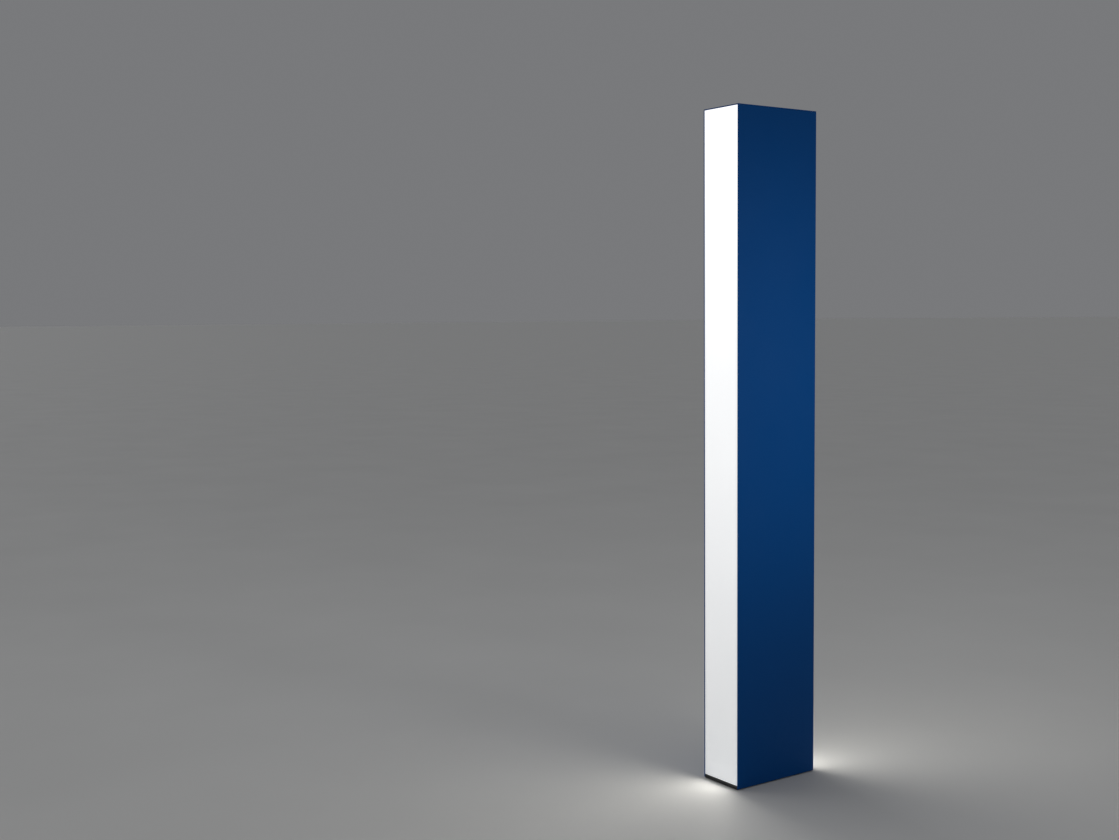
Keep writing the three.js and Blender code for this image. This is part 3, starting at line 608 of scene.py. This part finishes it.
def led(bm, x, face, z):
    """Square package with a domed lens, on a board's face."""
    half = LED["half"]
    block(bm, (x - half, face - LED["package"], z - half), (x + half, face + 0.1, z + half), BODY)
    lens = [(0, 0.7), (2.0, 0.7), (1.8, 0.95), (1.2, 1.25), (0, 1.38)]
    turned(bm, lens, facing_front(x, face, z), 16, LENS)


def board_screw(bm, x, face, z):
    head = [(0, 0), (2.8, 0), (2.7, 0.7), (2.0, 1.2), (1.1, 1.35), (1.1, 0.6), (0, 0.6)]
    turned(bm, head, facing_front(x, face, z), 20, STEEL)


def connector(bm, face, z):
    """Low socket across a board's end with two metal contacts."""
    half_x, half_z = CONNECTOR["half"]
    top = face - CONNECTOR["height"]
    block(bm, (-half_x, top, z - half_z), (half_x, face + 0.1, z + half_z), BODY)
    for x in (-CONNECTOR["pin_x"], CONNECTOR["pin_x"]):
        block(bm, (x - 1.2, top - 0.1, z - 1.6), (x + 1.2, top + 0.1, z + 1.6), STEEL)


def led_board_mesh(low, high):
    """Board with its LEDs, fixing screws and end connectors, from a CAD board's box on the front."""
    face = low.y + LED["height"]
    bm = bmesh.new()
    block(bm, (low.x, face, low.z), (high.x, high.y, high.z), MASK)
    pitch = (high.z - low.z) / LED["rows"]
    for row in range(LED["rows"]):
        for x in (-LED["x"], LED["x"]):
            led(bm, x, face, low.z + (row + 0.5) * pitch)
    for z in (low.z + BOARD_SCREW["inset"], (low.z + high.z) / 2, high.z - BOARD_SCREW["inset"]):
        for x in (-BOARD_SCREW["x"], 0, BOARD_SCREW["x"]):
            board_screw(bm, x, face, z)
    for z in (low.z + CONNECTOR["inset"], high.z - CONNECTOR["inset"]):
        connector(bm, face, z)
    return mesh_of(bm, "led_board")


def led_board(side, sign, number):
    """One board; a rear one is drawn as a front one and turned half a turn."""
    node = f"{side}_led_board_{number}"
    low, high = span(node)
    turn = 0.0
    if sign > 0:
        low, high = Vector((-high.x, -high.y, low.z)), Vector((-low.x, -low.y, high.z))
        turn = math.pi
    add_piece(node + "_fine", led_board_mesh(low, high), BODY_OF[node], BOARD_PARTS, 0.12,
              (node,), turn)


def board_link(side, sign, number):
    """Red and black wire from a board's top connector to the lower one of the next board."""
    low, high = span(f"{side}_led_board_{number}")
    near = (high.y if sign > 0 else low.y) + sign * 0.2
    far = near + sign * 0.9
    bm = bmesh.new()
    for material, x in enumerate((-CONNECTOR["pin_x"], CONNECTOR["pin_x"])):
        route = [(x, near, high.z - 4), (x, far, high.z), (x, far, high.z + 10), (x, near, high.z + 14)]
        tube(bm, route, 0.7, 8, material)
    add_extra(f"{side}_board_link_{number}", bm, "column", [RED_PLASTIC, FINISH["black_plastic"]])


for side, sign in SIDES.items():
    for number in range(1, BOARD_COUNT + 1):
        led_board(side, sign, number)
        if number < BOARD_COUNT:
            board_link(side, sign, number)


# ------------------------------------------------------------------ service bay: shared shapes

# Bay finishes by index; one of them is the near-black painted shade for holes and recesses.
BAY_PARTS = [FINISH["pale_grey_plastic"], FINISH["grey_plastic"], PAINTED_RECESS_SHADE, BRASS, GREEN_PLASTIC,
             AMBER_PLASTIC, BLUE_PLASTIC, FINISH["extruded_aluminium"]]
PALE, GREY, HOLE_SHADE, SCREW, GREEN, AMBER, BLUE, CASE = range(len(BAY_PARTS))
RAIL_Z = at_centre("din_rail").z
SHOULDER = 44  # a rail device's wide part, from its back to its screws
WELL_LEVEL = 34  # its clamp screws, above and below the rail's middle
WIRE_RADIUS = 1.5


def screw_head(bm, at, radius):
    """Pan head that faces the door, with its cross recess painted as a near-black cross of shade."""
    x, y, z = at
    head = [(0, 0), (radius, 0), (radius, 0.4), (radius * 0.8, 0.8), (0, 0.8)]
    turned(bm, head, facing_door(*at), 24, SCREW)
    long, short = radius * 0.62, 0.28
    # The cross recess is painted shade: two thin near-black bars on the head.
    for half_y, half_z in ((long, short), (short, long)):
        block(bm, (x - 0.83, y - half_y, z - half_z), (x - 0.6, y + half_y, z + half_z), HOLE_SHADE)


def screw_well(bm, at, material):
    """Rimmed well with a clamp screw in it; the well's floor is a near-black disc of painted shade."""
    rim = [(3.4, -0.5), (4.6, -0.5), (4.6, 0.25), (3.4, 0.25)]
    turned(bm, rim, facing_door(*at), 24, material)
    # Painted shade: a near-black disc at the bottom of the well.
    turned(bm, [(0, -0.1), (3.3, -0.1), (3.3, 0.06), (0, 0.06)], facing_door(*at), 24, HOLE_SHADE)
    screw_head(bm, at, 2.6)


def pole_screws(bm, back, y, material):
    for up in (-WELL_LEVEL, WELL_LEVEL):
        screw_well(bm, (back - SHOULDER, y, RAIL_Z + up), material)


def rail_outline(back, nose, cut=()):
    """Side view (x, z) of a rail device; cut holds extra points across the middle of its nose."""
    base, z = back - SHOULDER, RAIL_Z
    foot, neck, half = 45, 24, 22.5  # half its height at the rail, at the step and at the nose
    top = [(back, z + foot), (base, z + foot), (base, z + neck), (base - 2, z + half), (nose, z + half)]
    bottom = [(nose, z - half), (base - 2, z - half), (base, z - neck), (base, z - foot)]
    return [(back, z - foot), *top, *cut, *bottom]


def terminal_y(number):
    """Middle of one terminal of the strip, along the rail."""
    pitch = 7
    return span("terminal_strip")[0].y + pitch * (number + 0.5)


# ------------------------------------------------------------------ service bay: devices


def circuit_breaker():
    """Two poles side by side, with the toggle's slot across their joint and a blank status window."""
    low, high = span("circuit_breaker")
    back, nose = high.x, low.x
    middle, half_width = (low.y + high.y) / 2, (high.y - low.y) / 2
    seam_half, slot_half, slot_rise, slot_depth = 0.15, 11, 13, 12
    deep = nose + slot_depth
    top, bottom = RAIL_Z + slot_rise, RAIL_Z - slot_rise
    notched = rail_outline(back, nose, [(nose, top), (deep, top), (deep, bottom), (nose, bottom)])
    bm = bmesh.new()
    for sign in (-1, 1):
        seam, inner, outer = (middle + sign * reach for reach in (seam_half, slot_half, half_width))
        side_prism(bm, rail_outline(back, nose), *sorted((inner, outer)), PALE)
        side_prism(bm, notched, *sorted((seam, inner)), PALE)
        pole_screws(bm, back, (seam + outer) / 2, PALE)
    block(bm, (nose - 0.15, middle - 6, RAIL_Z - 20), (nose + 0.4, middle + 6, RAIL_Z - 16), GREEN)
    add_remade("circuit_breaker", bm, BAY_PARTS, 0.35)


def surge_arrester():
    """Grey base with a pale plug-in cartridge and a green status flag."""
    low, high = span("surge_arrester")
    bm = bmesh.new()
    side_prism(bm, rail_outline(high.x, low.x), low.y, high.y, GREY)
    pole_screws(bm, high.x, (low.y + high.y) / 2, GREY)
    block(bm, (low.x - 0.3, low.y + 1.5, RAIL_Z - 14), (low.x + 0.4, high.y - 1.5, RAIL_Z + 19), PALE)
    block(bm, (low.x - 0.45, low.y + 6, RAIL_Z + 4), (low.x - 0.2, high.y - 6, RAIL_Z + 9), GREEN)
    add_remade("surge_arrester", bm, BAY_PARTS, 0.35)


def terminal_strip():
    """Seven feed-through terminals, each with two clamp screws and two wire funnels painted as near-black
    blocks of shade.
    """
    low, high = span("terminal_strip")
    crown, shoulder, z = low.x, low.x + 8, RAIL_Z
    outline = [(high.x, z - 24), (high.x, z + 24), (shoulder, z + 24), (shoulder - 1, z + 15),
               (crown, z + 13), (crown, z - 13), (shoulder - 1, z - 15), (shoulder, z - 24)]
    half_thick, screw_up, funnel_up = 3.4, 8.5, 19.5
    funnel_front, funnel_back = shoulder - 0.3, shoulder + 0.4
    bm = bmesh.new()
    for number, colour in enumerate((GREY, GREY, BLUE, GREY, GREY, BLUE, AMBER)):
        y = terminal_y(number)
        side_prism(bm, outline, y - half_thick, y + half_thick, colour)
        for up in (-1, 1):
            screw_head(bm, (crown + 0.1, y, z + up * screw_up), 2.1)
            # Each wire funnel is a near-black block of painted shade over the opening.
            middle = z + up * funnel_up
            block(bm, (funnel_front, y - 1.9, middle - 2), (funnel_back, y + 1.9, middle + 2), HOLE_SHADE)
    add_remade("terminal_strip", bm, BAY_PARTS, 0.2)


def rail_clamps():
    """Screwed end stops that keep the devices from sliding along the rail."""
    back = span("terminal_strip")[1].x
    starts = {"strip": span("terminal_strip")[1].y + 0.6, "end": span("surge_arrester")[1].y + 0.6}
    thick, face, z = 8.5, back - 24, RAIL_Z
    outline = [(back, z - 21), (back, z + 21), (back - 16, z + 21), (face, z + 9), (face, z - 9),
               (back - 16, z - 21)]
    for name, start in starts.items():
        bm = bmesh.new()
        side_prism(bm, outline, start, start + thick, GREY)
        screw_head(bm, (face, start + thick / 2, z), 3.0)
        add_extra("rail_clamp_" + name, bm, "column", BAY_PARTS, 0.4)


def driver_outline(low, high):
    """Level section (x, y) of a driver's case, with seven grooves down its front."""
    front, back, width = low.x, high.x, high.y - low.y
    grooves = 7
    outline = [(back, low.y), (back, high.y), (front + 1, high.y), (front, high.y - 1)]
    for groove in range(1, grooves + 1):
        y = high.y - width * groove / (grooves + 1)
        outline += [(front, y + 2.2), (front + 1.6, y + 1.7), (front + 1.6, y - 1.7), (front, y - 2.2)]
    return outline + [(front, low.y + 1), (front + 1, low.y)]


def rating_plate(bm, low, high, z):
    """Pale plate with plain lines in place of words and a blue band, in the middle of a driver."""
    front = low.x
    block(bm, (front - 0.2, low.y + 9, z - 45), (front + 0.1, high.y - 9, z + 45), PALE)
    for line in (34, 22, 10, -2):
        foot = z + line
        block(bm, (front - 0.24, low.y + 14, foot), (front - 0.1, high.y - 18, foot + 1.2), GREY)
    block(bm, (front - 0.24, low.y + 9.5, z - 44), (front - 0.1, high.y - 9.5, z - 30), BLUE)


def led_driver(node):
    """Grooved case with plastic ends, mounting tabs, lead glands and a blank rating plate."""
    low, high = span(node)
    front, back = low.x, high.x
    tab, cap, tab_thick = 12, 4, 3
    base, top = low.z + tab, high.z - tab
    middle = at_centre(node)
    bm = bmesh.new()
    case_depth = top - base - 2 * cap
    prism(bm, driver_outline(low, high), case_depth, Matrix.Translation((0, 0, base + cap)), CASE)
    for z0, z1 in ((base, base + cap - 0.1), (top - cap + 0.1, top)):
        block(bm, (front + 0.4, low.y + 0.4, z0), (back, high.y - 0.4, z1), GREY)
    for z0, z1, screw_z in ((low.z, base + 1, low.z + 6), (top - 1, high.z, high.z - 6)):
        block(bm, (back - tab_thick, low.y + 8, z0), (back - 0.2, high.y - 8, z1), CASE)
        for y in (low.y + 18, high.y - 18):
            screw_head(bm, (back - tab_thick, y, screw_z), 3.2)
    rating_plate(bm, low, high, middle.z)
    gland = [(2.4, -1.5), (4.4, -1.5), (4.4, 1.2), (2.4, 1.2)]
    for z in (base, top):
        turned(bm, gland, Matrix.Translation((middle.x, middle.y, z)), 24, GREY)
    add_remade(node, bm, BAY_PARTS, 0.3)


# ------------------------------------------------------------------ service bay: wires and wiring card


def add_wire(name, material, route):
    bm = bmesh.new()
    tube(bm, route, WIRE_RADIUS)
    add_extra(name, bm, "column", [material])


def power_wires():
    """Single wires from the strip to the breaker, and from the breaker to the surge arrester."""
    breaker_low, breaker_high = span("circuit_breaker")
    quarter = (breaker_high.y - breaker_low.y) / 4
    near, far = breaker_low.y + quarter, breaker_high.y - quarter
    foot, under = breaker_low.z - 0.2, span("terminal_strip")[0].z - 0.2
    live, neutral, surge = terminal_y(0), terminal_y(2), at_centre("surge_arrester").y
    add_wire("live_wire", BROWN_PLASTIC,
             [(36, live, under), (36, live, under - 16), (34, live + 20, foot - 15),
              (34, near - 15, foot - 17), (36, near, foot - 9), (36, near, foot)])
    add_wire("neutral_wire", BLUE_PLASTIC,
             [(40, neutral, under), (40, neutral, under - 14), (39, neutral + 16, foot - 8),
              (39, near, foot - 11), (40, far, foot - 7), (40, far, foot)])
    add_wire("surge_wire", BROWN_PLASTIC,
             [(46, surge, foot), (46, surge, foot - 9), (46, (surge + far) / 2, foot - 15),
              (46, far, foot - 9), (46, far, foot)])


def earth_connection():
    """Stud with washers and a nut on the mounting plate, and the wire to it from the last terminal."""
    earth, over = terminal_y(6), span("terminal_strip")[1].z + 0.2
    plate = span("mounting_plate")[0].x
    stud_y, stud_z = earth - 22, over + 38
    add_wire("earth_wire", EARTH_SLEEVE,
             [(36, earth, over), (36, earth, over + 12), (46, earth - 8, over + 25),
              (plate - 4, stud_y + 9, stud_z), (plate - 4, stud_y + 5, stud_z)])
    washer = [(0, 0), (7, 0), (7, 1.2), (3.6, 1.2)]
    upper_washer = [(3.6, 3.2), (6.2, 3.2), (6.2, 4.4), (5.0, 4.4)]
    nut = [(5.6, 4.8, 6), (5.6, 8.6, 6), (5.0, 9.0)]
    stud = [(3.0, 9.0), (3.0, 15.0), (2.5, 15.5), (0, 15.5)]
    bm = bmesh.new()
    turned(bm, washer + upper_washer + nut + stud, facing_door(plate, stud_y, stud_z))
    add_extra("earth_stud", bm, "column", [BRASS], 0.15)


def wiring_card():
    """Blank card in a grey frame on the inside of the door, between its stiffeners."""
    x = span("left_side_panel")[1].x
    y0, y1, z0, z1, rim = -26, 24, 335, 465, 2.5
    bm = bmesh.new()
    block(bm, (x, y0, z0), (x + 0.5, y1, z1), PALE)
    frame_bars = (((y0 - rim, z0 - rim), (y0, z1 + rim)), ((y1, z0 - rim), (y1 + rim, z1 + rim)),
                  ((y0, z0 - rim), (y1, z0)), ((y0, z1), (y1, z1 + rim)))
    for low, high in frame_bars:
        block(bm, (x, *low), (x + 1.2, *high), GREY)
    for z in range(z0 + 15, z1 - 20, 15):
        block(bm, (x + 0.45, y0 + 6, z), (x + 0.56, y1 - 6, z + 0.8), GREY)
    block(bm, (x + 0.45, y0 + 4, z1 - 16), (x + 0.56, y1 - 4, z1 - 6), BLUE)
    add_extra("wiring_card", bm, "door", BAY_PARTS, 0.15)


circuit_breaker()
add_fine("breaker_toggle", 0.7)
surge_arrester()
terminal_strip()
rail_clamps()
for side in SIDES:
    led_driver(side + "_led_driver")
power_wires()
earth_connection()
wiring_card()


# ------------------------------------------------------------------ studio

FLOOR_REACH = 400  # metres from the column to the floor's edges, so that its far edge looks level


def add_floor():
    bm = bmesh.new()
    bmesh.ops.create_grid(bm, x_segments=1, y_segments=1, size=FLOOR_REACH / MM)
    mesh = mesh_of(bm, "studio_floor")
    floor = bpy.data.objects.new("studio_floor", mesh)
    bpy.context.scene.collection.objects.link(floor)
    look = Surface("studio_floor", (0.66, 0.66, 0.65), 0.55).tint(1.3, 0.02, detail=5)
    mesh.materials.append(look.sheen_map(3, 0.5, 0.6).set("Specular IOR Level", 0.05).material)


def add_world():
    world = bpy.data.worlds.new("studio")
    world.use_nodes = True
    background = world.node_tree.nodes["Background"]
    background.inputs["Color"].default_value = (0.19, 0.193, 0.20, 1)
    background.inputs["Strength"].default_value = 1.0
    bpy.context.scene.world = world


def add_light(name, kind, at, target, power, colour=(1, 1, 1)):
    """Light of a kind at a point, turned to a target. The camera doesn't see it."""
    light = bpy.data.objects.new(name, bpy.data.lights.new(name, kind))
    light.data.energy, light.data.color = power, colour
    light.location = at
    light.rotation_euler = (Vector(target) - Vector(at)).to_track_quat("-Z", "Y").to_euler()
    light.visible_camera = False
    bpy.context.scene.collection.objects.link(light)
    return light.data


def add_panel(name, at, target, size, power, colour=(1, 1, 1)):
    panel = add_light(name, "AREA", at, target, power, colour)
    panel.shape, panel.size, panel.size_y = "RECTANGLE", size[0], size[1]


def add_spot(name, at, target, angle, power):
    """Spotlight whose edge fades out all the way from its middle."""
    spot = add_light(name, "SPOT", at, target, power)
    spot.spot_size, spot.spot_blend, spot.shadow_soft_size = math.radians(angle), 1.0, 0.4


def add_lights():
    """Softbox above, a spot on each blue side, the covers' own glow, and a broad weak fill."""
    add_panel("top_softbox", (0, 0, 5.0), (0, 0, 0), (3.5, 3.5), 22)
    add_spot("right_spot", (3.2, 0.8, 1.5), (0.075, 0, 1.22), 33, 135)
    add_spot("left_spot", (-3.2, 0.6, 1.4), (-0.075, 0, 1.0), 44, 60)
    for side, sign in SIDES.items():
        at = Vector((0, sign * 0.165, 0.95))
        add_panel(side + "_glow", at, at + Vector((0, sign, 0)), (0.12, 1.85), 2.5, (1.0, 0.97, 0.90))
    fill = add_light("fill_sun", "SUN", (0, 0, 3), (3.0, 0.8, 0.8), 0.45)
    fill.angle = math.radians(70)


def add_camera(place, azimuth, pitch, roll, lens):
    """Camera at a place; azimuth 0 looks along +Y, and the angles are in degrees."""
    data = bpy.data.cameras.new("camera")
    data.sensor_width = 36.0
    data.lens = lens
    azimuth, pitch, roll = (math.radians(angle) for angle in (azimuth, pitch, roll))
    level = Vector((math.cos(azimuth), math.sin(azimuth), 0))
    flat = math.cos(pitch)
    ahead = Vector((-math.sin(azimuth) * flat, math.cos(azimuth) * flat, math.sin(pitch)))
    above = level.cross(ahead)
    right = level * math.cos(roll) + above * math.sin(roll)
    above = above * math.cos(roll) - level * math.sin(roll)
    camera = bpy.data.objects.new("camera", data)
    axes = Matrix((right, above, -ahead)).transposed().to_4x4()
    camera.matrix_world = Matrix.Translation(place) @ axes
    bpy.context.scene.collection.objects.link(camera)
    bpy.context.scene.camera = camera


add_floor()
add_world()
add_lights()
add_camera((3.147, -2.924, 1.397), azimuth=55.14, pitch=-4.14, roll=-0.48, lens=45.77)
bpy.context.scene.view_settings.view_transform = "Standard"

bpy.context.view_layer.update()
